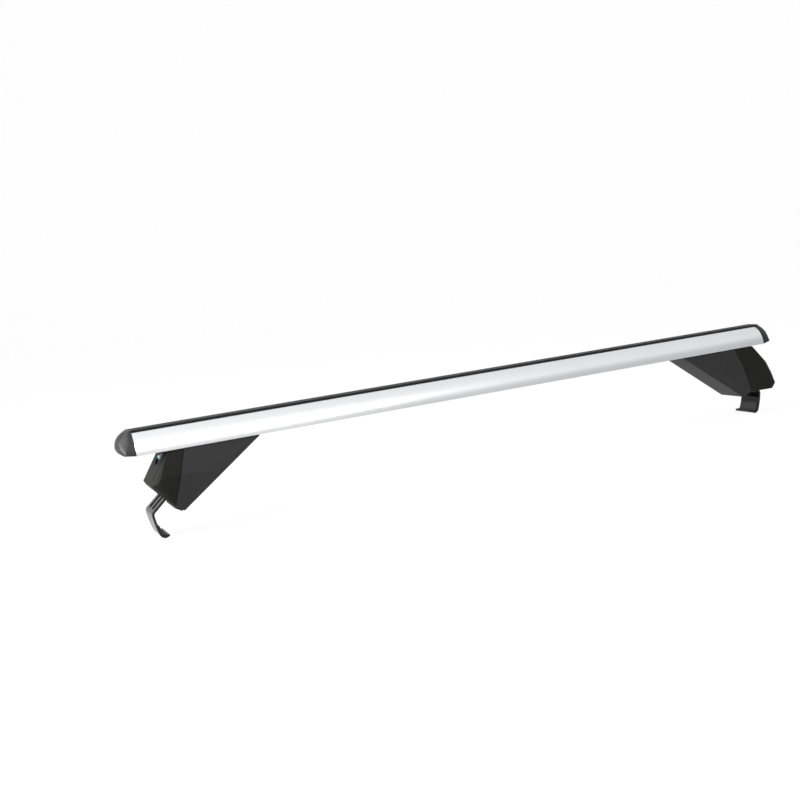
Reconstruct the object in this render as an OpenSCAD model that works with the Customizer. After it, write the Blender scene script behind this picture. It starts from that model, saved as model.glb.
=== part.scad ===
// Aero roof rack crossbar with two hook-clamp feet, for roofs with raised rails.
// Frame: X along the bar, Y across it, +Z up. The origin is the middle of the
// load face, on top of the rubber strip at half length.

/* [Bar] */
// Length of the aluminium tube without its end caps
bar_len = 1160; // [1000:1:1400]
// Width of the tube across its flat underside
bar_w = 60; // [54:0.5:70]
// Height of the tube from its underside to the seat of the strip
bar_h = 32; // [28:0.5:34]
// Radius of the two bowed sides of the tube
side_r = 42.6; // [40:0.1:48]
// How far the centres of the bowed sides lie below the underside
side_sink = 3.6; // [2:0.1:6]
// Wall thickness of the tube
bar_wall = 2.4; // [1.8:0.1:3]
// Thickness of the two upright webs inside the tube
web_t = 2; // [1.5:0.1:3]

/* [Top slot and strip] */
// Width of the mouth of the T-slot
slot_mouth = 10.6; // [8:0.1:12]
// Width of the T-slot below its lips
slot_w = 18; // [15:0.1:19]
// Clear height of the T-slot below its lips
slot_h = 6.5; // [5:0.1:8]
// Thickness of the lips over the T-slot
slot_lip = 2.6; // [2:0.1:3.5]
// Width of the rubber strip
strip_w = 22.6; // [18:0.1:23]
// Height of the rubber strip above its seat
strip_rise = 3.8; // [2:0.1:5]
// Thickness of the soft lips that hold the strip in the slot
strip_barb_t = 2.2; // [1.5:0.1:3]

/* [End caps] */
// How far the nose of a cap stands out from the tube
cap_reach = 24; // [18:0.5:28]
// Height of the foremost point of the nose above the underside
cap_nose_h = 13; // [10:0.5:16]
// How far the side faces of a cap run on below
cap_edge_low = 15; // [10:0.5:17]
// How far the side faces of a cap run on above
cap_edge_high = 3.5; // [2:0.5:6]
// How far the low corners of a cap rise from the underside
cap_lift = 3.5; // [0:0.5:6]
// Depth of the plug that holds a cap in the tube
cap_plug = 20; // [12:1:30]
// Clearance round the plug
plug_gap = 0.2; // [0.1:0.05:0.4]

/* [Foot casing] */
// Distance from the end of the tube to the parting line of a foot, at the bar
part_run = 69; // [60:1:90]
// Length of the top edge of a foot from its tip to the parting line
body_len = 115; // [108:1:130]
// Distance of the heel beyond the top of the parting line
heel_out = 12; // [8:1:14]
// Drop of the heel below the bar
heel_drop = 91; // [84:0.5:96]
// Lean of the parting line away from upright, in degrees
part_lean = 17.6; // [14:0.1:20]
// Width of a foot where it meets the bar
foot_top_w = 56; // [52:0.5:60]
// Widest width of a foot
foot_w = 74; // [70:0.5:80]
// Width of the keel between the tip and the heel of a foot
keel_w = 44; // [43:0.5:48]
// Width of the heel of a foot
heel_w = 58; // [54:0.5:62]
// Width of the flat outer face of a cover
face_w = 44; // [43:0.5:48]
// Wall thickness of the moulded casings
case_wall = 3; // [2.5:0.1:4]
// Width of the visible gap between casing and outer cover
part_gap = 0.8; // [0.4:0.1:1.2]
// Thickness of the stiffening ribs in the casing
rib_t = 2; // [1.5:0.1:3]
// Spacing of the stiffening ribs
rib_pitch = 22; // [18:1:30]

/* [Outer covers] */
// Reach of the left cover beyond the parting line, at the bar
left_top_reach = 26; // [24:1:30]
// Reach of the corner of the left cover, measured from the same place
left_corner_reach = 56; // [50:1:60]
// Drop of the corner of the left cover
left_corner_drop = 46; // [40:1:50]
// Reach of the right cover beyond the parting line, at the bar
right_top_reach = 43; // [40:1:46]
// Reach of the corner of the right cover, measured from the same place
right_corner_reach = 91; // [86:1:94]
// Drop of the corner of the right cover
right_corner_drop = 75; // [70:1:78]
// Radius of the rounded corners of the covers
cover_r = 14; // [10:1:18]

/* [Clamp] */
// Width of the hook outside its foot
hook_w = 46; // [40:0.5:50]
// Width of the tongue of the hook inside the bracket
tongue_w = 32; // [28:0.5:32.4]
// Thickness of the steel of the hook
hook_t = 3.6; // [3:0.1:4]
// Distance of the pin of the hook beyond the top of the parting line
pin_out = 31; // [30:0.5:32]
// Drop of the pin of the hook below the bar
pin_drop = 56; // [55:0.5:57]
// Slope of the arm of the hook below level, in degrees
arm_slope = 41; // [38:0.5:44]
// Length of the arm from the line of the pin to the bend
arm_out = 38; // [34:0.5:39]
// Width of each slot in the arm
arm_slot_w = 10; // [8:0.5:11]
// Width of the rib between the two slots
arm_rib_w = 8; // [7:0.5:10]
// Height of the pin of the hook above the arm
pin_lift = 7; // [6.5:0.1:8]
// Diameter of the pin of the hook
pin_d = 6; // [5:0.1:6.4]
// Radial clearance of the pin in the ears of the hook
pin_gap = 0.08; // [0.05:0.01:0.1]
// Diameter of the clamp screw
screw_d = 6; // [5:0.1:6.4]
// Diameter of the head of the clamp screw
screw_head_d = 10; // [9:0.1:10.5]
// Height of the head of the clamp screw
screw_head_h = 6; // [5:0.1:6.4]
// Width of the hexagon socket across its flats
screw_key = 5; // [4:0.1:5.5]
// Lean of the clamp screw away from upright, in degrees
screw_lean = 21.5; // [20:0.5:23]
// Diameter of the barrel nut
nut_d = 11; // [10.5:0.1:12]
// Radial clearance between clamp screw and barrel nut
nut_gap = 0.45; // [0.4:0.01:0.55]
// Distance of the clamp screw from the pin of the hook
nut_lever = 18; // [16:0.5:19]

/* [Bracket and fixings] */
// Thickness of the steel of the bracket
bracket_t = 2.5; // [2:0.1:3]
// Outer width of the bracket
bracket_w = 38; // [38:0.1:39]
// Thickness of the gasket between bar and foot
gasket_t = 1.2; // [0.8:0.1:2]
// Diameter of the bolts that hold the bracket to the bar
bolt_d = 6; // [5:0.1:6.4]
// Distance of the outer bolt inside the top of the parting line
bolt_in = 36; // [34:1:40]
// Distance between the two bolts
bolt_pitch = 42; // [38:1:46]
// Radial clearance round the bolts
bolt_gap = 0.3; // [0.2:0.05:0.4]

/* [Rubber] */
// Width of the rail pad across the bar
pad_w = 60; // [54:1:62]
// Thickness of the rail pad
pad_t = 5; // [4:0.5:6]
// Thickness of the rubber lining of the hook
liner_t = 2; // [1.5:0.1:2.5]

/* [Hidden] */
$fn = 64;
eps = 0.01;
big = 400;

// Sides of the object
LEFT = -1;
RIGHT = 1;

// Bar
bar_end = bar_len / 2;
bar_top = bar_h + strip_rise;
side_c = sqrt(side_r * side_r - side_sink * side_sink) - bar_w / 2;
web_y = slot_w / 2 + web_t / 2;

// Foot: places are (x, z) from the parting line, at the underside of the bar
foot_top = -gasket_t;
part_x = bar_end - part_run;
tip = -body_len;
heel = [heel_out, -heel_drop];
corner_z = -37;
sole_rise = 8;
sole_run = 14;
sole_end = heel + [sole_run, sole_rise];
sole_wall = 6.5;
rail_clear = 0.3;
sole_angle = atan2(sole_rise, sole_run);
sole_dir = [cos(sole_angle), sin(sole_angle)];
low_share = [0.61, 0.88];
low_drop = [42, 64];

// Clamp: the places below follow from the pin of the hook
pin = [pin_out, -pin_drop];
arm_dir = [cos(arm_slope), -sin(arm_slope)];
arm_up = [sin(arm_slope), cos(arm_slope)];
arm_foot = pin - pin_lift * arm_up;
screw_side = [cos(screw_lean), -sin(screw_lean)];
nut_at = pin - nut_lever * screw_side;
nut_len = 26;
nut_play = 0.1;
seat_up = 34;
washer_t = 1.6;
washer_d = 12;
head_low = seat_up + bracket_t + washer_t + 0.1;
seat_gap = 0.1;
screw_low = 14;
socket_depth = 3.5;
access_r = 8.5;
ear_t = 3;
ear_r = pin_d / 2 + 3;
tongue_end = 11;
slot_y = (arm_rib_w + arm_slot_w) / 2;
screw_swing = 2.8;
screw_room = 0.6;

// Steps of the hook after its straight arm: length and turn of each
bend = [6, -56];
leg = [30, -14];
toe = [12.4, -104];
lip_l = 2;
liner_l = 12;
bend_a = -arm_slope;
leg_a = bend_a + bend[1];
toe_a = leg_a + leg[1];
lip_a = toe_a + toe[1];
bend_p = arm_foot + arm_out * arm_dir;
leg_p = step_end(bend_p, bend_a, bend[0], bend[1]);
toe_p = step_end(leg_p, leg_a, leg[0], leg[1]);
lip_p = step_end(toe_p, toe_a, toe[0], toe[1]);

// Bracket and fixings
plate_top = foot_top - case_wall;
bolt_x = -bolt_in;
bolt_head_h = 4;
bolt_head_d = 11.5;
plate_in = bolt_x - bolt_pitch - 14;
plate_out = 18;
flange = 6;
nut_plate_t = 5;
rib_cut = 40;
clip_t = 1.2;
clip_d = 10;

// Frames

// Moves parts that are drawn from the underside of the bar to the object's frame.
module from_underside() {
    translate([0, 0, -bar_top]) children();
}

// Puts a part that is drawn for the right end on the chosen side.
module on_side(side) {
    from_underside()
        if (side == LEFT)
            mirror([1, 0, 0]) children();
        else
            children();
}

// Puts a part that is drawn from the parting line under the chosen end of the bar.
module on_foot(side) {
    on_side(side) translate([part_x, 0, 0]) children();
}

// Stands an outline drawn in (x, z) upright and makes it w wide, centred on Y.
module slab(w) {
    rotate([90, 0, 0]) linear_extrude(w, center = true) children();
}

// Runs an outline drawn in (y, z) along X from x0 over the length l.
module along_bar(x0, l) {
    translate([x0, 0, 0]) rotate([90, 0, 90]) linear_extrude(l) children();
}

// A cylinder across the foot, through the point p of (x, z).
module cross_rod(p, d, w) {
    translate([p[0], 0, p[1]]) rotate([90, 0, 0]) cylinder(d = d, h = w, center = true);
}

// Puts its children on the axis of the clamp screw, with z = 0 at the barrel nut.
module on_screw_axis() {
    translate([nut_at[0], 0, nut_at[1]]) rotate([0, screw_lean, 0]) children();
}

// Puts its children in the plane of the arm, x outward along it from below the pin.
module on_arm() {
    translate([arm_foot[0], 0, arm_foot[1]]) rotate([0, arm_slope, 0]) children();
}

// Holes for the two bolts of a foot, from the bracket up into the bar.
module bolt_holes() {
    low = plate_top - bracket_t - 1;
    for (i = [0, 1])
        translate([bolt_x - i * bolt_pitch, 0, low])
            cylinder(d = bolt_d + 2 * bolt_gap, h = bar_wall + 1 - low);
}

// Bar

// Section of the bar, with two bowed sides that lean in towards a flat top.
module bar_outline(inset = 0) {
    intersection() {
        translate([-side_c, -side_sink]) circle(side_r - inset, $fn = 128);
        translate([side_c, -side_sink]) circle(side_r - inset, $fn = 128);
        translate([-bar_w, inset]) square([2 * bar_w, bar_h - 2 * inset]);
    }
}

module slot_outline() {
    translate([-slot_mouth / 2, bar_h - slot_lip - eps]) square([slot_mouth, slot_lip + 1]);
    translate([-slot_w / 2, bar_h - slot_lip - slot_h]) square([slot_w, slot_h]);
}

// Material that walls the slot in and ties it to the underside.
module slot_walls() {
    depth = slot_lip + slot_h + web_t;
    translate([-web_y - web_t / 2, bar_h - depth]) square([2 * web_y + web_t, depth]);
    for (y = [-web_y, web_y])
        translate([y - web_t / 2, 0]) square([web_t, bar_h]);
}

module bar_section() {
    difference() {
        intersection() {
            union() {
                difference() {
                    bar_outline();
                    bar_outline(bar_wall);
                }
                slot_walls();
            }
            bar_outline();
        }
        slot_outline();
    }
}

module bar_tube() {
    from_underside() color("Silver")
        difference() {
            along_bar(-bar_end, bar_len) bar_section();
            for (s = [0, 1])
                mirror([s, 0, 0]) translate([part_x, 0, 0]) bolt_holes();
        }
}

module top_strip() {
    crown = 0.8;
    neck_w = slot_mouth - 0.4;
    barb_w = slot_mouth + 4;
    from_underside() color("DimGray")
        along_bar(-bar_end, bar_len) {
            polygon([
                [-strip_w / 2, bar_h],
                [strip_w / 2, bar_h],
                [strip_w / 2, bar_top - crown],
                [strip_w / 2 - crown, bar_top],
                [-strip_w / 2 + crown, bar_top],
                [-strip_w / 2, bar_top - crown]]);
            translate([-neck_w / 2, bar_h - slot_lip - strip_barb_t])
                square([neck_w, slot_lip + strip_barb_t + eps]);
            translate([-barb_w / 2, bar_h - slot_lip - strip_barb_t - 0.1])
                square([barb_w, strip_barb_t]);
        }
}

// Half width of the bar and its strip at the height z.
function bar_half(z) = z > bar_h
    ? strip_w / 2
    : sqrt(pow(side_r, 2) - pow(max(z, 0) + side_sink, 2)) - side_c;

// Reach of the edge between side face and end face of a cap at the height z.
function cap_edge(z) = cap_edge_low + (cap_edge_high - cap_edge_low) * z / bar_top;

// Point of the end face of a cap. The angle t runs from the underside (-90) to the
// top (90) and f across the bar, from one edge (-1) to the other (1).
function cap_point(t, f) = let (
    r = t < 0 ? cap_nose_h : bar_top - cap_nose_h,
    z = cap_nose_h + r * sin(t),
    edge = cap_edge(z),
    bulge = max(0, cap_reach - r * (1 - cos(t)) - edge),
    lifted = max(z, cap_lift * pow(f, 4)))
    [edge + bulge * sqrt(1 - f * f), f * bar_half(lifted), min(lifted, bar_top - eps)];

module end_cap(side) {
    on_side(side) color("#2b2d2e") {
        hull() {
            along_bar(bar_end, eps) {
                bar_outline();
                translate([-strip_w / 2, bar_h]) square([strip_w, strip_rise]);
            }
            for (t = [-90:15:90], f = [-1:0.25:1])
                translate([bar_end, 0, 0] + cap_point(t, f)) cube([eps, eps, eps]);
        }
        for (s = [-1, 1])
            along_bar(bar_end - cap_plug, cap_plug + eps)
                intersection() {
                    bar_outline(bar_wall + plug_gap);
                    translate([s > 0 ? web_y + web_t / 2 + plug_gap : -bar_w, 0])
                        square([bar_w - web_y - web_t / 2 - plug_gap, bar_h]);
                }
    }
}

// Foot casing and cover

// Outer edge of a cover from the bar down to its lowest corner, as (x, z).
function cover_edge(side) = side == LEFT
    ? [[left_top_reach, foot_top],
       [left_corner_reach - 6, corner_z],
       [left_corner_reach, -left_corner_drop],
       [left_corner_reach - 3, -left_corner_drop - 6]]
    : [[right_top_reach, foot_top],
       [right_corner_reach - 19, -right_corner_drop * 0.44],
       [right_corner_reach - 8, -right_corner_drop * 0.72],
       [right_corner_reach, -right_corner_drop],
       [right_corner_reach - 8, -right_corner_drop - 10]];

// The edge below the bar, moved in by d: round corners are made of such edges.
function lower_edge(side, d) = let (e = cover_edge(side))
    [for (i = [1:len(e) - 1]) e[i] - [d, 0]];

// Last point of that edge, where the cover turns in under the foot.
function cover_low(side) = let (e = cover_edge(side)) e[len(e) - 1];

// Points of the band inside the parting line, where the foot is widest.
band_points = [sole_end + [0, 4],
               [tip + (heel[0] - tip) * low_share[1], -low_drop[1]],
               [tip + (heel[0] - tip) * low_share[0], -low_drop[0]],
               [0, corner_z]];

// Rounded body of a foot: a narrow keel, a wide band above it and a narrower top.
module foot_body(side, inset) {
    steps = 4;
    hull() {
        slab(keel_w - 2 * inset) offset(delta = -inset)
            polygon([[0, foot_top], sole_end, heel, [tip, foot_top - 1], [tip, foot_top]]);
        slab(heel_w - 2 * inset) offset(delta = -inset)
            polygon([[0, foot_top], sole_end, heel, [heel[0] - 12, -heel_drop + 10]]);
        slab(face_w - 2 * inset) offset(delta = -inset)
            polygon(concat(cover_edge(side), [sole_end, [0, foot_top]]));
        slab(foot_top_w - 2 * inset) offset(delta = -inset)
            polygon([[tip, foot_top], cover_edge(side)[0], cover_edge(side)[0] - [3, 4],
                     [tip + 6, foot_top - 4]]);
        for (i = [1:steps]) {
            a = 90 * i / steps;
            slab(foot_w - 2 * cover_r * (1 - sin(a)) - 2 * inset) offset(delta = -inset)
                polygon(concat(lower_edge(side, cover_r * (1 - cos(a))), band_points));
        }
    }
}

// Room for the rail, below the sole and below the outer cover. It runs on past the
// heel and past the corner of the cover.
module rail_room(side) {
    start = heel - 2 * sole_dir + [0, rail_clear];
    end = cover_low(side) + [4, 1];
    slab(foot_w + 2)
        polygon([start, sole_end + [0, rail_clear], end,
                 [end[0], -2 * heel_drop], [start[0], -2 * heel_drop]]);
}

// Whole moulded form of a foot. The long right cover would reach over the sole.
module foot_form(side) {
    if (side == LEFT)
        foot_body(side, 0);
    else
        difference() {
            foot_body(side, 0);
            rail_room(side);
        }
}

// The space inside its walls, which are thicker over the sole.
module foot_space(side) {
    difference() {
        foot_body(side, case_wall);
        translate([0, 0, sole_wall]) rail_room(side);
    }
}

// Everything outboard of the parting line, moved out by gap.
module outboard(gap = 0) {
    translate([gap, -big / 2, 0]) rotate([0, -part_lean, 0])
        translate([0, 0, -big / 2]) cube([big, big, big]);
}

// Room for a key on the head of the clamp screw, and the way in from the outside.
module screw_access() {
    on_screw_axis() translate([0, 0, seat_up + bracket_t]) cylinder(r = access_r, h = 30);
    translate([nut_at[0] + 20, 0, nut_at[1] + 36])
        rotate([0, 90, 0]) cylinder(r = access_r, h = 90);
}

// The slanted mouth that the arm of the hook comes out of, open below for its leg.
module arm_mouth() {
    mouth_w = hook_w + 4;
    low_w = mouth_w - 1;
    on_arm() translate([2, -mouth_w / 2, -8]) cube([50, mouth_w, 17]);
    translate([pin[0] + 6, -low_w / 2, -heel_drop - 10]) cube([40, low_w, 30]);
}

// Seat of the rail pad in the sole of the casing, widened by gap.
module pad_seat(gap = 0) {
    start = heel + 3 * sole_dir;
    l = sole_run / cos(sole_angle) - 4;
    translate([start[0], 0, start[1]]) rotate([0, -sole_angle, 0])
        translate([-gap, -pad_w / 2 - gap, -2])
            cube([l + 2 * gap, pad_w + 2 * gap, pad_t + gap]);
}

module ribs() {
    for (i = [0:3])
        translate([-i * rib_pitch - 12, -foot_w / 2, -heel_drop])
            cube([rib_t, foot_w, heel_drop]);
}

module foot_casing(side) {
    on_foot(side) color("#26282a")
        difference() {
            foot_form(side);
            outboard();
            difference() {
                foot_space(side);
                difference() {
                    ribs();
                    translate([plate_in - 1, -bracket_w / 2 - 1, -rib_cut])
                        cube([-plate_in, bracket_w + 2, rib_cut]);
                }
            }
            bolt_holes();
            pad_seat(0.05);
        }
}

module outer_cover(side) {
    on_foot(side) color("#3a3c3d")
        difference() {
            intersection() {
                foot_form(side);
                outboard(part_gap);
            }
            foot_space(side);
            screw_access();
            arm_mouth();
        }
}

module bar_gasket(side) {
    start = tip + 2;
    end = cover_edge(side)[0][0] - 2;
    on_foot(side) color("#151617")
        difference() {
            translate([start, -foot_top_w / 2 + 1, foot_top])
                cube([end - start, foot_top_w - 2, gasket_t]);
            bolt_holes();
        }
}

// Steel bracket

module bracket_side_outline() {
    polygon([
        [plate_in + 14, plate_top],
        [plate_out - 1, plate_top],
        [pin[0] + 1, -20],
        [pin[0] + flange, pin[1] + 14],
        [pin[0] + flange, pin[1] - 3],
        [pin[0], pin[1] - flange],
        [pin[0] - flange, pin[1] - flange + 1],
        [-14, -32],
        [plate_in + 14, -12]]);
}

module bracket(side) {
    seat_w = bracket_w - bracket_t;
    on_foot(side) color("#8d9194")
        difference() {
            union() {
                translate([plate_in, -bracket_w / 2, plate_top - bracket_t])
                    cube([plate_out - plate_in, bracket_w, bracket_t]);
                for (s = [-1, 1])
                    translate([0, s * (bracket_w - bracket_t) / 2, 0])
                        slab(bracket_t) bracket_side_outline();
                on_screw_axis()
                    translate([-9, -seat_w / 2, seat_up]) cube([14, seat_w, bracket_t]);
            }
            bolt_holes();
            cross_rod(pin, pin_d, bracket_w + 2);
            on_screw_axis() translate([0, 0, seat_up - 1])
                cylinder(d = screw_d + 2 * seat_gap, h = bracket_t + 2);
        }
}

// Two bolts, from under the bracket into the plate inside the bar.
module bar_bolts(side) {
    under = plate_top - bracket_t;
    on_foot(side) color("#9aa7b0")
        for (i = [0, 1])
            translate([bolt_x - i * bolt_pitch, 0, 0]) {
                translate([0, 0, under]) cylinder(d = bolt_d, h = bar_wall + nut_plate_t - under);
                translate([0, 0, under - bolt_head_h])
                    cylinder(d = bolt_head_d, h = bolt_head_h, $fn = 6);
            }
}

module nut_plate(side) {
    on_foot(side) color("#9aa0a3")
        difference() {
            translate([bolt_x - bolt_pitch - 10, -slot_w / 2 + 0.5, bar_wall])
                cube([bolt_pitch + 20, slot_w - 1, nut_plate_t]);
            for (i = [0, 1])
                translate([bolt_x - i * bolt_pitch, 0, bar_wall - 1])
                    cylinder(d = bolt_d, h = nut_plate_t + 2);
        }
}

module rail_pad(side) {
    on_foot(side) color("#1c1d1e") pad_seat();
}

// Hook

// Place reached after going the length l from p, heading a and turning by turn.
function step_end(p, a, l, turn) = turn == 0
    ? p + l * [cos(a), sin(a)]
    : let (r = l / (turn * PI / 180)) p + r * [sin(a + turn) - sin(a), cos(a) - cos(a + turn)];

// Points along such a step, to the left of it by the distance off.
function side_points(p, a, l, turn, off, n = 12) =
    [for (i = [0:n]) let (f = i / n, b = a + turn * f)
        step_end(p, a, l * f, turn * f) + off * [-sin(b), cos(b)]];

// Points along the toe and the end of the leg, which the rubber lies on.
function jaw_points(off) = let (
    part = liner_l / leg[0],
    from_a = leg_a + leg[1] * (1 - part),
    from_p = step_end(leg_p, leg_a, leg[0] - liner_l, leg[1] * (1 - part)))
    concat(side_points(from_p, from_a, liner_l, leg[1] * part, off, 6),
           side_points(toe_p, toe_a, toe[0], toe[1], off));

// Points along the whole hook, from the wide part of the arm to the lip.
function hook_points(off) = concat(
    [arm_foot + tongue_end * arm_dir + off * arm_up],
    side_points(bend_p, bend_a, bend[0], bend[1], off),
    side_points(leg_p, leg_a, leg[0], leg[1], off),
    side_points(toe_p, toe_a, toe[0], toe[1], off),
    [lip_p + lip_l * [cos(lip_a), sin(lip_a)] + off * [-sin(lip_a), cos(lip_a)]]);

// A list in reverse order.
function reversed(list) = [for (i = [len(list) - 1:-1:0]) list[i]];

module hook(side) {
    seat_d = nut_d + 2 * nut_play;
    eye_d = seat_d + 2 * hook_t;
    inner_end = arm_dir * (nut_at - arm_foot) + nut_d / 2;
    on_foot(side) color("#1a1b1c")
        difference() {
            union() {
                slab(hook_w)
                    polygon(concat(hook_points(hook_t / 2), reversed(hook_points(-hook_t / 2))));
                on_arm() translate([inner_end, -tongue_w / 2, -hook_t / 2])
                    cube([tongue_end + 1 - inner_end, tongue_w, hook_t]);
                cross_rod(nut_at, eye_d, nut_len - 2);
                for (s = [-1, 1])
                    translate([0, s * (tongue_w - ear_t) / 2, 0]) {
                        cross_rod(pin, 2 * ear_r, ear_t);
                        on_arm() translate([0.3 - ear_r, -ear_t / 2, 0])
                            cube([2 * ear_r - 0.6, ear_t, pin_lift]);
                    }
            }
            cross_rod(pin, pin_d + 2 * pin_gap, hook_w + 2);
            cross_rod(nut_at, seat_d, hook_w);
            for (s = [-1, 1])
                on_arm() translate([tongue_end - 3, -arm_slot_w / 2 + s * slot_y, -5])
                    cube([arm_out - tongue_end + 1, arm_slot_w, 10]);
            on_screw_axis()
                cube([screw_d + 2 * screw_swing, screw_d + 2 * screw_room, 2 * eye_d],
                     center = true);
        }
}

// Rubber on the inner side of the leg and toe.
module hook_liner(side) {
    near = -hook_t / 2;
    on_foot(side) color("#5a5c5e")
        slab(hook_w - 4)
            polygon(concat(jaw_points(near), reversed(jaw_points(near - liner_t))));
}

module hook_pin(side) {
    on_foot(side) color("#9aa0a3") cross_rod(pin, pin_d, bracket_w + 2 * clip_t + 1);
}

// A clip on each end of the pin, outside the bracket.
module pin_clips(side) {
    on_foot(side) color("#6f7477")
        for (s = [-1, 1])
            translate([0, s * (bracket_w + clip_t) / 2, 0])
                difference() {
                    cross_rod(pin, clip_d, clip_t);
                    cross_rod(pin, pin_d, clip_t + 2);
                }
}

module clamp_screw(side) {
    key_d = screw_key / cos(30);
    on_foot(side) color("#8fb4c2")
        on_screw_axis()
            difference() {
                union() {
                    translate([0, 0, -screw_low]) cylinder(d = screw_d, h = screw_low + head_low);
                    translate([0, 0, head_low]) cylinder(d = screw_head_d, h = screw_head_h);
                }
                translate([0, 0, head_low + screw_head_h - socket_depth])
                    cylinder(d = key_d, h = socket_depth + 1, $fn = 6);
            }
}

// The washer under the head, and the ring that keeps the screw in its seat.
module screw_washer(side) {
    on_foot(side) color("#a9adb0")
        on_screw_axis() {
            difference() {
                translate([0, 0, seat_up + bracket_t]) cylinder(d = washer_d, h = washer_t);
                cylinder(d = screw_d + 2 * seat_gap, h = 60);
            }
            difference() {
                translate([0, 0, seat_up - 0.3 - clip_t]) cylinder(d = clip_d, h = clip_t);
                cylinder(d = screw_d + 2 * seat_gap, h = 60);
            }
        }
}

module barrel_nut(side) {
    on_foot(side) color("#a9adb0")
        difference() {
            cross_rod(nut_at, nut_d, nut_len);
            on_screw_axis() translate([0, 0, -10]) cylinder(d = screw_d + 2 * nut_gap, h = 20);
        }
}

bar_tube();
top_strip();
end_cap(LEFT);  // left_end_cap
end_cap(RIGHT);  // right_end_cap
foot_casing(LEFT);  // left_foot_casing
outer_cover(LEFT);  // left_outer_cover
bar_gasket(LEFT);  // left_bar_gasket
bracket(LEFT);  // left_bracket
bar_bolts(LEFT);  // left_bar_bolts
nut_plate(LEFT);  // left_nut_plate
rail_pad(LEFT);  // left_rail_pad
hook(LEFT);  // left_hook
hook_liner(LEFT);  // left_hook_liner
hook_pin(LEFT);  // left_hook_pin
pin_clips(LEFT);  // left_pin_clips
clamp_screw(LEFT);  // left_clamp_screw
screw_washer(LEFT);  // left_screw_washer
barrel_nut(LEFT);  // left_barrel_nut
foot_casing(RIGHT);  // right_foot_casing
outer_cover(RIGHT);  // right_outer_cover
bar_gasket(RIGHT);  // right_bar_gasket
bracket(RIGHT);  // right_bracket
bar_bolts(RIGHT);  // right_bar_bolts
nut_plate(RIGHT);  // right_nut_plate
rail_pad(RIGHT);  // right_rail_pad
hook(RIGHT);  // right_hook
hook_liner(RIGHT);  // right_hook_liner
hook_pin(RIGHT);  // right_hook_pin
pin_clips(RIGHT);  // right_pin_clips
clamp_screw(RIGHT);  // right_clamp_screw
screw_washer(RIGHT);  // right_screw_washer
barrel_nut(RIGHT);  // right_barrel_nut
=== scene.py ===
"""An aero roof bar with two screw-worked hook feet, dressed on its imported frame."""

import logging
import math
from dataclasses import dataclass, field
from enum import Enum

import bmesh
import bpy
from mathutils import Matrix, Vector


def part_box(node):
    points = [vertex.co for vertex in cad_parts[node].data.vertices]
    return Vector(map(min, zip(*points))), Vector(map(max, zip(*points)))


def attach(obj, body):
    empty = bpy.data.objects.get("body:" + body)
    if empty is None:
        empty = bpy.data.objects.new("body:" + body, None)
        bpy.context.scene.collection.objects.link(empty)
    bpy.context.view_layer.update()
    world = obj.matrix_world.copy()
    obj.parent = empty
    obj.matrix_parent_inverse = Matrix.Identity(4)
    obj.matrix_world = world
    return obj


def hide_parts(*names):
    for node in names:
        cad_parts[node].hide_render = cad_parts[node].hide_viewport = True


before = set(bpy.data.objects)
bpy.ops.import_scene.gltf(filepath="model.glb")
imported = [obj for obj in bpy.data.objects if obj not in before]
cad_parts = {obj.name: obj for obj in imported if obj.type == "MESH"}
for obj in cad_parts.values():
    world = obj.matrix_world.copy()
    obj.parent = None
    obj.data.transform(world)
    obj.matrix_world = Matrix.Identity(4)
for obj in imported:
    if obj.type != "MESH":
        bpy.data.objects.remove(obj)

log = logging.getLogger("crossbar")

MM = 0.001
# Height of the bar over its underside, in millimetres. Z of the frame is 0 at its top.
BAR_TOP = 35.8
# The body that carries every piece that doesn't move.
FIXED_BODY = "bar_and_feet"
# Corners of a node's mesh that lie this close together are one.
MERGE_DISTANCE = 0.002 * MM
# Faces that turn from each other by less than this are one flat face.
FLAT_ANGLE = math.radians(0.6)
# The angle in degrees above which an edge stays sharp, where a piece gives no other.
SHARP_ABOVE = 30.0
# Height of the grain of a finish.
GRAIN_HEIGHT = 0.1 * MM
# Scale along the bar of the drawn pattern, which pulls its grain into long lines.
DRAWN_STRETCH = 0.012
# Scale of the slow change of tone over a whole piece.
BROAD_SCALE = 14.0


class Side(Enum):
    """The two feet, by the end of the bar that they stand under."""

    LEFT = "left"
    RIGHT = "right"

    @property
    def sign(self) -> int:
        """Sign of X on this side."""
        return -1 if self is Side.LEFT else 1

    def node(self, part: str) -> str:
        """Name of the part's node on this side."""
        return f"{self.value}_{part}"


class Pattern(Enum):
    """What the surface of a finish shows from close by."""

    GRAIN = "grain"
    DRAWN = "drawn"


def math_step(tree: bpy.types.NodeTree, operation: str,
              *values: float | bpy.types.NodeSocket) -> bpy.types.NodeSocket:
    """Add a Math node to a tree.

    Args:
        tree: The node tree that takes the node.
        operation: What the node does with its inputs.
        values: The inputs in order, each a number or a socket that is linked.

    Returns:
        The socket with the result.
    """
    step = tree.nodes.new("ShaderNodeMath")
    step.operation = operation
    for spot, value in zip(step.inputs, values):
        if isinstance(value, bpy.types.NodeSocket):
            tree.links.new(value, spot)
        else:
            spot.default_value = value
    return step.outputs[0]


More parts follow.
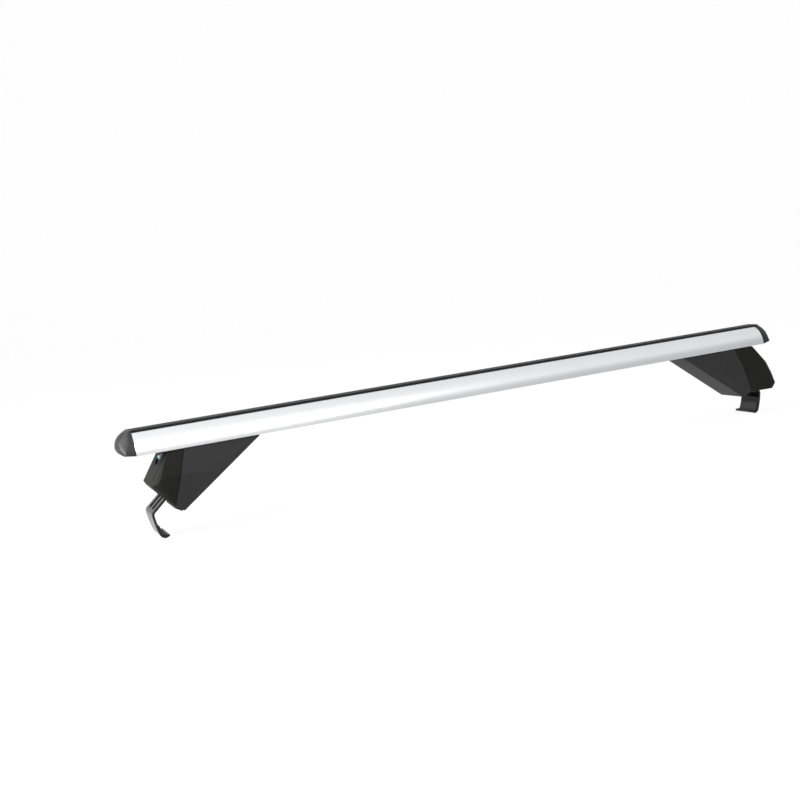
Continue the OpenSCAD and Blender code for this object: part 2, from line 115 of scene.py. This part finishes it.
class SurfaceGroups:
    """The two shader groups that the finishes share, each built once."""

    def __init__(self) -> None:
        """Start with no group built."""
        self._made: dict[Pattern, bpy.types.NodeTree] = {}

    def get(self, pattern: Pattern) -> bpy.types.NodeTree:
        """Return the group of a pattern.

        Args:
            pattern: The pattern that the group draws.

        Returns:
            The shader node group, built at its first use.
        """
        if pattern not in self._made:
            self._made[pattern] = self._build(pattern)
        return self._made[pattern]

    @staticmethod
    def _sockets(tree: bpy.types.NodeTree) -> None:
        """Give a group its named inputs and outputs.

        Args:
            tree: The new group.
        """
        for name, kind, value in (
            ("Colour", "NodeSocketColor", (0.5, 0.5, 0.5, 1.0)),
            ("Spread", "NodeSocketFloat", 0.1),
            ("Roughness", "NodeSocketFloat", 0.5),
            ("Rough Spread", "NodeSocketFloat", 0.1),
            ("Scale", "NodeSocketFloat", 900.0),
        ):
            tree.interface.new_socket(
                name, in_out="INPUT", socket_type=kind).default_value = value
        for name, kind in (
            ("Colour", "NodeSocketColor"),
            ("Roughness", "NodeSocketFloat"),
            ("Height", "NodeSocketFloat"),
        ):
            tree.interface.new_socket(name, in_out="OUTPUT", socket_type=kind)

    @classmethod
    def _build(cls, pattern: Pattern) -> bpy.types.NodeTree:
        """Build one group.

        Args:
            pattern: GRAIN is a moulded texture, DRAWN has fine lines along the bar.

        Returns:
            A node tree with a colour, a roughness and a height as its outputs.
        """
        tree = bpy.data.node_groups.new(f"surface_{pattern.value}", "ShaderNodeTree")
        cls._sockets(tree)
        nodes, links = tree.nodes, tree.links
        given = nodes.new("NodeGroupInput")
        out = nodes.new("NodeGroupOutput")
        place = nodes.new("ShaderNodeTexCoord")
        stretch = nodes.new("ShaderNodeMapping")
        along = DRAWN_STRETCH if pattern is Pattern.DRAWN else 1.0
        stretch.inputs["Scale"].default_value = (along, 1.0, 1.0)
        links.new(place.outputs["Object"], stretch.inputs["Vector"])
        fine = nodes.new("ShaderNodeTexNoise")
        fine.inputs["Detail"].default_value = 3.0
        links.new(stretch.outputs[0], fine.inputs["Vector"])
        links.new(given.outputs["Scale"], fine.inputs["Scale"])
        broad = nodes.new("ShaderNodeTexNoise")
        broad.inputs["Scale"].default_value = BROAD_SCALE
        broad.inputs["Detail"].default_value = 2.0
        links.new(place.outputs["Object"], broad.inputs["Vector"])
        both = math_step(tree, "ADD", fine.outputs["Fac"], broad.outputs["Fac"])
        signed = math_step(tree, "SUBTRACT", both, 1.0)
        shade = math_step(tree, "MULTIPLY_ADD", signed, given.outputs["Spread"], 1.0)
        tint = nodes.new("ShaderNodeVectorMath")
        tint.operation = "SCALE"
        links.new(given.outputs["Colour"], tint.inputs[0])
        links.new(shade, tint.inputs["Scale"])
        wear = math_step(tree, "MULTIPLY_ADD", signed, given.outputs["Rough Spread"], 1.0)
        rough = math_step(tree, "MULTIPLY", given.outputs["Roughness"], wear)
        rough.node.use_clamp = True
        links.new(tint.outputs[0], out.inputs["Colour"])
        links.new(rough, out.inputs["Roughness"])
        links.new(fine.outputs["Fac"], out.inputs["Height"])
        return tree


GROUPS = SurfaceGroups()


@dataclass(frozen=True)
class Finish:
    """The look of one material of the bar."""

    slot: str
    colour: tuple[float, float, float]
    roughness: float
    metallic: float = 0.0
    pattern: Pattern = Pattern.GRAIN
    scale: float = 900.0
    spread: float = 0.12
    rough_spread: float = 0.15
    bump: float = 0.08
    specular: float = 0.5

    def material(self) -> bpy.types.Material:
        """Return the material of this finish, made at its first use."""
        made = bpy.data.materials.get(self.slot)
        return made if made and made.get("dressed") else self._build()

    def _build(self) -> bpy.types.Material:
        """Build the material with its surface group and a Principled shader.

        Returns:
            The new material, named after the slot.
        """
        mat = bpy.data.materials.new(self.slot)
        mat.name = self.slot
        mat["dressed"] = True
        mat.use_nodes = True
        nodes, links = mat.node_tree.nodes, mat.node_tree.links
        shader = nodes["Principled BSDF"]
        surface = nodes.new("ShaderNodeGroup")
        surface.node_tree = GROUPS.get(self.pattern)
        surface.inputs["Colour"].default_value = (*self.colour, 1.0)
        surface.inputs["Spread"].default_value = self.spread
        surface.inputs["Roughness"].default_value = self.roughness
        surface.inputs["Rough Spread"].default_value = self.rough_spread
        surface.inputs["Scale"].default_value = self.scale
        bump = nodes.new("ShaderNodeBump")
        bump.inputs["Strength"].default_value = self.bump
        bump.inputs["Distance"].default_value = GRAIN_HEIGHT
        links.new(surface.outputs["Colour"], shader.inputs["Base Color"])
        links.new(surface.outputs["Roughness"], shader.inputs["Roughness"])
        links.new(surface.outputs["Height"], bump.inputs["Height"])
        links.new(bump.outputs["Normal"], shader.inputs["Normal"])
        shader.inputs["Metallic"].default_value = self.metallic
        shader.inputs["Specular IOR Level"].default_value = self.specular
        return mat


ALUMINIUM = Finish("silver_aluminium", (0.86, 0.865, 0.875), 0.24, metallic=1.0,
                   pattern=Pattern.DRAWN, scale=1600.0, spread=0.05,
                   rough_spread=0.2, bump=0.05)
STRIP = Finish("strip_rubber", (0.005, 0.0051, 0.0056), 0.42, pattern=Pattern.DRAWN,
               spread=0.25, bump=0.15, specular=0.2)
CAP = Finish("cap_plastic", (0.013, 0.013, 0.0133), 0.45, scale=1800.0, bump=0.12,
             specular=0.25)
CASING = Finish("casing_plastic", (0.007, 0.007, 0.0079), 0.58, scale=1800.0, bump=0.12,
                specular=0.32)
COVER = Finish("cover_plastic", (0.006, 0.0062, 0.0056), 0.52, scale=1800.0, bump=0.12,
               specular=0.1)
PAD = Finish("pad_rubber", (0.02, 0.02, 0.02), 0.6, scale=700.0, bump=0.2, specular=0.2)
ZINC = Finish("zinc_steel", (0.6, 0.61, 0.62), 0.35, metallic=1.0, scale=500.0,
              spread=0.15)
HOOK = Finish("hook_steel", (0.004, 0.004, 0.0045), 0.2, scale=700.0, bump=0.02,
              specular=0.3)
LINER = Finish("liner_rubber", (0.03, 0.03, 0.031), 0.6, bump=0.2, specular=0.2)
BLUE_ZINC = Finish("blue_zinc", (0.36, 0.56, 0.64), 0.3, metallic=1.0, scale=600.0,
                   spread=0.15)


def finish_piece(obj: bpy.types.Object, look: Finish, smooth: float) -> None:
    """Shade a finished mesh and give it its material.

    Args:
        obj: The piece, with its place in its mesh.
        look: The finish that covers it.
        smooth: The angle in degrees above which an edge stays sharp.
    """
    mesh = obj.data
    mesh.polygons.foreach_set("use_smooth", [True] * len(mesh.polygons))
    mesh.set_sharp_from_angle(angle=math.radians(smooth))
    mesh.materials.clear()
    mesh.materials.append(look.material())
    weigh = obj.modifiers.new("weighted_normals", "WEIGHTED_NORMAL")
    weigh.keep_sharp = True


def add_piece(bm: bmesh.types.BMesh, name: str, body: str, look: Finish,
              *nodes: str, smooth: float = SHARP_ABOVE) -> bpy.types.Object:
    """Turn a bmesh into a piece of the object.

    Args:
        bm: The shape, in metres. It is freed.
        name: The name of the piece.
        body: The CAD body that the piece rides on.
        look: The finish that covers it.
        nodes: The CAD nodes that the piece stands for.
        smooth: The angle in degrees above which an edge stays sharp.

    Returns:
        The new object.
    """
    mesh = bpy.data.meshes.new(name)
    bm.to_mesh(mesh)
    bm.free()
    obj = bpy.data.objects.new(name, mesh)
    bpy.context.scene.collection.objects.link(obj)
    finish_piece(obj, look, smooth)
    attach(obj, body)
    if nodes:
        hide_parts(*nodes)
    log.info("%s: %d faces on %s", name, len(mesh.polygons), body)
    return obj


@dataclass(frozen=True)
class PartingPlane:
    """The leaning plane at which a foot's casing ends and its cover begins.

    Lengths are in millimetres. The plane crosses the underside of the bar at x, and
    its top leans towards the middle of the bar.
    """

    x: float = 511.0
    lean: float = 17.6
    gap: float = 0.8
    slack: float = 0.05
    outer_y: float = 24.0

    def beyond(self, point: Vector) -> float:
        """Return how far a point lies outside the plane.

        Args:
            point: A place in the frame, in metres.

        Returns:
            The distance in millimetres, towards the end of the bar.
        """
        lean = math.radians(self.lean)
        return ((abs(point.x) / MM - self.x) * math.cos(lean)
                + (point.z / MM + BAR_TOP) * math.sin(lean))

    def bounds_face(self, edge: bmesh.types.BMEdge) -> bool:
        """Say whether an edge is on the cover's parting face, near its front or back.

        Args:
            edge: An edge of the cover's mesh.

        Returns:
            True where both ends lie in the face and the edge isn't an open one.
        """
        off = max(self.beyond(v.co) for v in edge.verts)
        y = sum(abs(v.co.y) for v in edge.verts) / MM / 2
        return off < self.gap + self.slack and y > self.outer_y and edge.is_manifold


@dataclass
class SoftEdged:
    """A rigid part with the shape of its node, its edges bevelled where there is room.

    The radii are in millimetres and are only asked for. The tightest place of a mesh
    clamps all of its bevels: on casings, covers, caps, hooks and barrel nuts they come
    out at about a hundredth of a millimetre or less, so that those edges stay sharp.
    Only the lip of the right cover comes out at about a tenth.
    """

    node: str
    look: Finish
    body: str = FIXED_BODY
    radius: float = 0.3
    segments: int = 2
    sharp: float = 24.0
    smooth: float = SHARP_ABOVE
    lip: float = 0.0
    lip_segments: int = 2

    @staticmethod
    def round_edges(bm: bmesh.types.BMesh, edges: list[bmesh.types.BMEdge],
                    radius: float, segments: int) -> None:
        """Bevel some edges.

        Args:
            bm: The merged copy of the node's mesh.
            edges: The edges to round.
            radius: The width asked for in millimetres, before it is clamped.
            segments: How many faces the bevel has across its width.
        """
        bmesh.ops.bevel(bm, geom=edges, offset=radius * MM, segments=segments,
                        affect="EDGES", profile=0.5, material=-1, clamp_overlap=True)

    def build(self) -> bpy.types.Object:
        """Merge a copy of the node's mesh, bevel its edges and show it instead.

        Returns:
            The piece that stands for the node.
        """
        bm = bmesh.new()
        bm.from_mesh(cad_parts[self.node].data)
        bmesh.ops.remove_doubles(bm, verts=bm.verts, dist=MERGE_DISTANCE)
        bmesh.ops.dissolve_limit(bm, angle_limit=FLAT_ANGLE, verts=bm.verts,
                                 edges=bm.edges)
        if self.lip:
            plane = PartingPlane()
            lip = [e for e in bm.edges if plane.bounds_face(e)]
            self.round_edges(bm, lip, self.lip, self.lip_segments)
        sharp = math.radians(self.sharp)
        edges = [e for e in bm.edges if e.is_manifold and e.calc_face_angle(0.0) > sharp]
        self.round_edges(bm, edges, self.radius, self.segments)
        return add_piece(bm, f"{self.node}_shown", self.body, self.look, self.node,
                         smooth=self.smooth)


@dataclass
class Bar:
    """The tube, its grooved strip and the two caps, with sizes in millimetres."""

    strip_half: float = 11.3
    strip_low: float = 32.0
    grooves: int = 9
    groove_pitch: float = 2.0
    groove_depth: float = 0.45
    groove_half: float = 0.5
    groove_floor_half: float = 0.25
    corner: float = 0.8
    corner_cut: float = 0.3
    neck_half: float = 5.1
    barb_half: float = 7.3
    barb_low: float = 27.1
    barb_high: float = 29.3

    def strip_section(self) -> list[tuple[float, float]]:
        """Draw the section of the strip, with its grooves and the barb in the slot.

        Returns:
            The outline as (y, z), with z from the underside of the bar.
        """
        top = BAR_TOP
        low = top - self.groove_depth
        cut = self.corner_cut * self.corner
        right = [(self.strip_half, self.strip_low), (self.strip_half, top - self.corner),
                 (self.strip_half - cut, top - cut), (self.strip_half - self.corner, top)]
        first = (self.grooves - 1) / 2 * self.groove_pitch
        grooved = []
        for i in range(self.grooves):
            y = first - i * self.groove_pitch
            grooved += [(y + self.groove_half, top), (y + self.groove_floor_half, low),
                        (y - self.groove_floor_half, low), (y - self.groove_half, top)]
        left = [(-y, z) for y, z in reversed(right)]
        foot = [(-self.neck_half, self.strip_low), (-self.neck_half, self.barb_high),
                (-self.barb_half, self.barb_high), (-self.barb_half, self.barb_low),
                (self.barb_half, self.barb_low), (self.barb_half, self.barb_high),
                (self.neck_half, self.barb_high), (self.neck_half, self.strip_low)]
        return right + grooved + left + foot

    def strip(self) -> None:
        """Extrude the grooved strip along the bar."""
        low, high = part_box("top_strip")
        bm = bmesh.new()
        corners = [bm.verts.new((low.x, y * MM, (z - BAR_TOP) * MM))
                   for y, z in self.strip_section()]
        face = bm.faces.new(corners)
        run = bmesh.ops.extrude_face_region(bm, geom=[face])
        moved = [v for v in run["geom"] if isinstance(v, bmesh.types.BMVert)]
        bmesh.ops.translate(bm, vec=(high.x - low.x, 0.0, 0.0), verts=moved)
        bmesh.ops.recalc_face_normals(bm, faces=bm.faces)
        add_piece(bm, "top_strip_ribbed", FIXED_BODY, STRIP, "top_strip")

    def build(self) -> None:
        """Build every piece of the bar."""
        SoftEdged("bar_tube", ALUMINIUM, radius=0.5, segments=3).build()
        self.strip()
        for side in Side:
            SoftEdged(side.node("end_cap"), CAP, radius=0.4, segments=2, sharp=40.0,
                      smooth=22.0).build()


@dataclass
class ScrewThread:
    """A ridge wound round a shank, by a spin that also moves along the axis.

    The radii, the pitch and the sink of the ridge's foot in the core are in
    millimetres. Crest and end are shares of the pitch. The ridge is an open ribbon: its
    feet lie inside the core, and its two ends have no cap.
    """

    major: float = 3.0
    minor: float = 2.5
    pitch: float = 1.0
    steps: int = 24
    sink: float = 0.05
    crest_low: float = 0.42
    crest_high: float = 0.56
    end: float = 0.98

    def wind(self, bm: bmesh.types.BMesh, low: float, high: float) -> None:
        """Add the ridge and the core to a bmesh, round the Z axis.

        Args:
            bm: The bmesh that takes the shape, in millimetres.
            low: Where the thread starts.
            high: Where the thread ends.
        """
        turns = (high - low) / self.pitch - 1.0
        count = int(turns * self.steps)
        foot = self.minor - self.sink
        profile = [(foot, 0.0), (self.major, self.crest_low * self.pitch),
                   (self.major, self.crest_high * self.pitch),
                   (foot, self.end * self.pitch)]
        verts = [bm.verts.new((r, 0.0, low + z)) for r, z in profile]
        edges = [bm.edges.new((a, b)) for a, b in zip(verts, verts[1:])]
        bmesh.ops.spin(bm, geom=verts + edges, cent=(0.0, 0.0, 0.0), axis=(0.0, 0.0, 1.0),
                       dvec=(0.0, 0.0, self.pitch / self.steps),
                       angle=math.tau * turns, steps=count)
        bmesh.ops.create_cone(bm, cap_ends=True, segments=self.steps, radius1=self.minor,
                              radius2=self.minor, depth=high - low,
                              matrix=Matrix.Translation((0.0, 0.0, (low + high) / 2)))


@dataclass
class Foot:
    """One foot: mouldings, bracket, pad, hook and the screw that works it.

    Lengths are in millimetres. Heights on the screw are measured along its axis from
    the middle of the barrel nut, and knurl_cut is a share of the head's radius.
    """

    side: Side
    nut_x: float = 525.2525
    nut_z: float = -49.403
    lean: float = 21.5
    shank_low: float = -14.0
    thread_high: float = 30.0
    shank_r: float = 3.0
    shank_sides: int = 32
    head_low: float = 38.2
    head_high: float = 44.2
    head_r: float = 5.0
    knurls: int = 36
    knurl_cut: float = 0.965
    rim: float = 0.7
    rim_rise: float = 0.35
    land: float = 1.0
    socket_across: float = 5.0
    socket_deep: float = 3.5
    thread: ScrewThread = field(default_factory=ScrewThread)

    def body(self, part: str) -> str:
        """Name of a moving body of this foot."""
        return f"{self.side.value}_{part}"

    def screw_frame(self) -> Matrix:
        """Place the clamp screw.

        Returns:
            The matrix from the screw's own millimetres to the frame's metres.
        """
        place = Matrix.Translation((self.side.sign * self.nut_x * MM, 0.0,
                                    (self.nut_z - BAR_TOP) * MM))
        turn = Matrix.Rotation(self.side.sign * math.radians(self.lean), 4, "Y")
        return place @ turn @ Matrix.Scale(MM, 4)

    def screw(self) -> None:
        """Build the clamp screw: thread, shank and knurled head with its socket."""
        bm = bmesh.new()
        self.thread.wind(bm, self.shank_low, self.thread_high)
        middle = (self.thread_high + self.head_low) / 2
        bmesh.ops.create_cone(bm, cap_ends=True, segments=self.shank_sides,
                              radius1=self.shank_r, radius2=self.shank_r,
                              depth=self.head_low - self.thread_high,
                              matrix=Matrix.Translation((0.0, 0.0, middle)))
        self.head(bm)
        bmesh.ops.transform(bm, matrix=self.screw_frame(), verts=bm.verts)
        bmesh.ops.recalc_face_normals(bm, faces=bm.faces)
        add_piece(bm, self.side.node("clamp_screw_cut"), self.body("screw"), BLUE_ZINC,
                  self.side.node("clamp_screw"))

    def head(self, bm: bmesh.types.BMesh) -> None:
        """Add the knurled head, with a hexagon socket in its top.

        Args:
            bm: The bmesh that takes the head, in the screw's own millimetres.
        """
        middle = (self.head_low + self.head_high) / 2
        made = bmesh.ops.create_cone(bm, cap_ends=True, segments=2 * self.knurls,
                                     radius1=self.head_r, radius2=self.head_r,
                                     depth=self.head_high - self.head_low,
                                     matrix=Matrix.Translation((0.0, 0.0, middle)))
        verts = made["verts"]
        for i, v in enumerate(sorted(verts, key=lambda v: math.atan2(v.co.y, v.co.x))):
            if (i // 2) % 2:
                v.co.x *= self.knurl_cut
                v.co.y *= self.knurl_cut
        ends = [f for v in verts for f in v.link_faces if len(f.verts) > 4]
        top = max(ends, key=lambda f: f.calc_center_median().z)
        bmesh.ops.inset_region(bm, faces=[top], thickness=self.rim, depth=self.rim_rise)
        bmesh.ops.inset_region(bm, faces=[top], thickness=self.land, depth=0.0)
        self.hexagon(top)
        deep = bmesh.ops.extrude_face_region(bm, geom=[top])
        floor = [v for v in deep["geom"] if isinstance(v, bmesh.types.BMVert)]
        bmesh.ops.translate(bm, vec=(0.0, 0.0, -self.socket_deep), verts=floor)
        bmesh.ops.delete(bm, geom=[top], context="FACES_ONLY")

    def hexagon(self, face: bmesh.types.BMFace) -> None:
        """Move the corners of a round face onto the outline of the socket.

        Args:
            face: The face, which is square to the Z axis and centred on it.
        """
        sixth = math.radians(60)
        half = sixth / 2
        corner_r = self.socket_across / math.cos(half) / 2
        for v in face.verts:
            a = math.atan2(v.co.y, v.co.x)
            r = corner_r * math.cos(half) / math.cos((a % sixth) - half)
            v.co.x, v.co.y = r * math.cos(a), r * math.sin(a)

    def build(self) -> None:
        """Build and dress every piece of the foot."""
        node = self.side.node
        SoftEdged(node("foot_casing"), CASING, radius=1.0, segments=3, sharp=8.0).build()
        SoftEdged(node("outer_cover"), COVER, radius=0.9, segments=3, sharp=12.0,
                  lip=1.8).build()
        SoftEdged(node("bar_gasket"), PAD, radius=0.2).build()
        SoftEdged(node("rail_pad"), PAD, radius=0.8, segments=3).build()
        for part in ("bracket", "bar_bolts", "nut_plate", "hook_pin", "pin_clips",
                     "screw_washer"):
            SoftEdged(node(part), ZINC, radius=0.25).build()
        SoftEdged(node("barrel_nut"), ZINC, body=self.body("nut")).build()
        SoftEdged(node("hook"), HOOK, body=self.body("clamp"), radius=0.7,
                  segments=3).build()
        SoftEdged(node("hook_liner"), LINER, body=self.body("clamp")).build()
        self.screw()


@dataclass
class Studio:
    """Floor, lamps, world and the camera of the photograph.

    The camera's place, its lens and sensor and the height of the floor are in
    millimetres, the other lengths in metres and the powers in watts.
    """

    eye: tuple[float, float, float] = (-838.0, -1567.8, 202.8)
    yaw: float = 23.674
    pitch: float = 7.609
    roll: float = -6.665
    lens: float = 48.409
    sensor: float = 36.0
    nearest: float = 0.05
    farthest: float = 50.0
    floor_z: float = -165.0
    floor_reach: float = 12.0
    wall_y: float = 6.0
    wall_reach: float = 9.0
    paleness: float = 0.85
    white_share: float = 0.93
    by_height: tuple[tuple[float, float], ...] = (
        (-0.02, 0.62), (0.24, 0.77), (0.37, 0.84), (0.52, 1.16), (1.0, 1.03),
    )
    by_side: tuple[tuple[float, float], ...] = ((0.12, 1.0), (0.7, 0.7))
    aim: tuple[float, float, float] = (0.0, 0.0, -0.06)
    lamps: tuple[tuple[str, tuple[float, float, float], float, float], ...] = (
        ("key", (0.05, -2.0, 1.4), 20.0, 0.9),
        ("side", (-2.4, -0.1, 0.5), 95.0, 1.0),
        ("upper side", (-1.5, -0.3, 1.5), 26.0, 0.8),
    )

    def camera(self) -> None:
        """Set the camera that was fitted to the photograph."""
        yaw, pitch, roll = (math.radians(a) for a in (self.yaw, self.pitch, self.roll))
        ahead = Vector((math.sin(yaw) * math.cos(pitch), math.cos(yaw) * math.cos(pitch),
                        -math.sin(pitch)))
        level = Vector((math.cos(yaw), -math.sin(yaw), 0.0))
        upright = level.cross(ahead)
        right = level * math.cos(roll) + upright * math.sin(roll)
        up = upright * math.cos(roll) - level * math.sin(roll)
        turn = Matrix((right, up, -ahead)).transposed().to_4x4()
        data = bpy.data.cameras.new("camera")
        data.sensor_width = self.sensor
        data.lens = self.lens
        data.clip_start = self.nearest
        data.clip_end = self.farthest
        cam = bpy.data.objects.new("camera", data)
        bpy.context.scene.collection.objects.link(cam)
        cam.matrix_world = Matrix.Translation(Vector(self.eye) * MM) @ turn
        bpy.context.scene.camera = cam

    def floor(self) -> None:
        """Lay a pale floor, which keeps the shadow of the bar, and raise a backdrop."""
        pale = self.pale()
        level = Matrix.Translation((0.0, 0.0, self.floor_z * MM))
        turn = Matrix.Rotation(math.radians(-self.yaw), 4, "Z")
        upright = Matrix.Translation((0.0, self.wall_y, 0.0)) @ Matrix.Rotation(
            math.radians(90.0), 4, "X")
        for name, reach, place in (("floor", self.floor_reach, level),
                                   ("backdrop", self.wall_reach, turn @ upright)):
            bm = bmesh.new()
            bmesh.ops.create_grid(bm, x_segments=1, y_segments=1, size=reach,
                                  matrix=place)
            mesh = bpy.data.meshes.new(name)
            bm.to_mesh(mesh)
            bm.free()
            mesh.materials.append(pale)
            obj = bpy.data.objects.new(name, mesh)
            bpy.context.scene.collection.objects.link(obj)

    def pale(self) -> bpy.types.Material:
        """Build the material of the floor and the backdrop.

        Returns:
            A matte material that shows as white, directly and in a gloss.
        """
        mat = bpy.data.materials.new("pale_floor")
        mat.use_nodes = True
        tree = mat.node_tree
        nodes, links = tree.nodes, tree.links
        nodes.remove(nodes["Principled BSDF"])
        matte = nodes.new("ShaderNodeBsdfDiffuse")
        grey = self.paleness
        matte.inputs["Color"].default_value = (grey, grey, grey, 1.0)
        white = nodes.new("ShaderNodeEmission")
        white.inputs["Color"].default_value = (1.0, 1.0, 1.0, 1.0)
        share = math_step(tree, "MULTIPLY", self.seen(tree), self.white_share)
        mix = nodes.new("ShaderNodeMixShader")
        links.new(share, mix.inputs["Fac"])
        links.new(matte.outputs[0], mix.inputs[1])
        links.new(white.outputs[0], mix.inputs[2])
        links.new(mix.outputs[0], nodes["Material Output"].inputs["Surface"])
        return mat

    @staticmethod
    def seen(tree: bpy.types.NodeTree) -> bpy.types.NodeSocket:
        """Add the test for rays that show the background, directly or in a gloss.

        Args:
            tree: The node tree that takes the nodes.

        Returns:
            The socket that is 1 for camera, glossy and transmission rays.
        """
        path = tree.nodes.new("ShaderNodeLightPath")
        found = path.outputs["Is Camera Ray"]
        for kind in ("Is Glossy Ray", "Is Transmission Ray"):
            found = math_step(tree, "MAXIMUM", found, path.outputs[kind])
        return found

    @staticmethod
    def ramp(tree: bpy.types.NodeTree, source: bpy.types.NodeSocket,
             *stops: tuple[float, float]) -> bpy.types.NodeSocket:
        """Turn one component of a direction into a level.

        Args:
            tree: The node tree that takes the nodes.
            source: A component of the direction, from -1 to 1.
            stops: Pairs of a component and its level, which is at most 2.

        Returns:
            The socket with the level.
        """
        band = tree.nodes.new("ShaderNodeValToRGB")
        for i, (place, level) in enumerate(stops):
            spots = band.color_ramp.elements
            spot = spots[i] if i < 2 else spots.new(1.0)
            spot.position = place / 2 + 0.5
            spot.color = (level / 2, level / 2, level / 2, 1.0)
        tree.links.new(math_step(tree, "MULTIPLY_ADD", source, 0.5, 0.5),
                       band.inputs["Fac"])
        return math_step(tree, "MULTIPLY", band.outputs["Color"], 2.0)

    def world(self) -> None:
        """Surround the bar with a pale studio, darker low down and on the right."""
        world = bpy.data.worlds.new("studio")
        bpy.context.scene.world = world
        world.use_nodes = True
        tree = world.node_tree
        place = tree.nodes.new("ShaderNodeTexCoord")
        split = tree.nodes.new("ShaderNodeSeparateXYZ")
        tree.links.new(place.outputs["Generated"], split.inputs[0])
        rise = self.ramp(tree, split.outputs["Z"], *self.by_height)
        across = self.ramp(tree, split.outputs["X"], *self.by_side)
        tree.links.new(math_step(tree, "MULTIPLY", rise, across),
                       tree.nodes["Background"].inputs["Color"])

    def light(self) -> None:
        """Hang the soft lamps, each aimed at the middle of the bar."""
        for name, place, power, size in self.lamps:
            data = bpy.data.lights.new(name, "AREA")
            data.energy = power
            data.size = size
            lamp = bpy.data.objects.new(name, data)
            bpy.context.scene.collection.objects.link(lamp)
            lamp.location = place
            aim = Vector(self.aim) - Vector(place)
            lamp.rotation_mode = "QUATERNION"
            lamp.rotation_quaternion = aim.to_track_quat("-Z", "Y")

    def build(self) -> None:
        """Set up camera, floor, world and lamps."""
        self.camera()
        self.floor()
        self.world()
        self.light()
        bpy.context.scene.view_settings.view_transform = "Standard"


def main() -> None:
    """Build the whole scene on the frame."""
    logging.basicConfig(level=logging.INFO, format="%(name)s: %(message)s")
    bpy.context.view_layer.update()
    Studio().build()
    Bar().build()
    for side in Side:
        Foot(side).build()


if __name__ == "__main__":
    main()
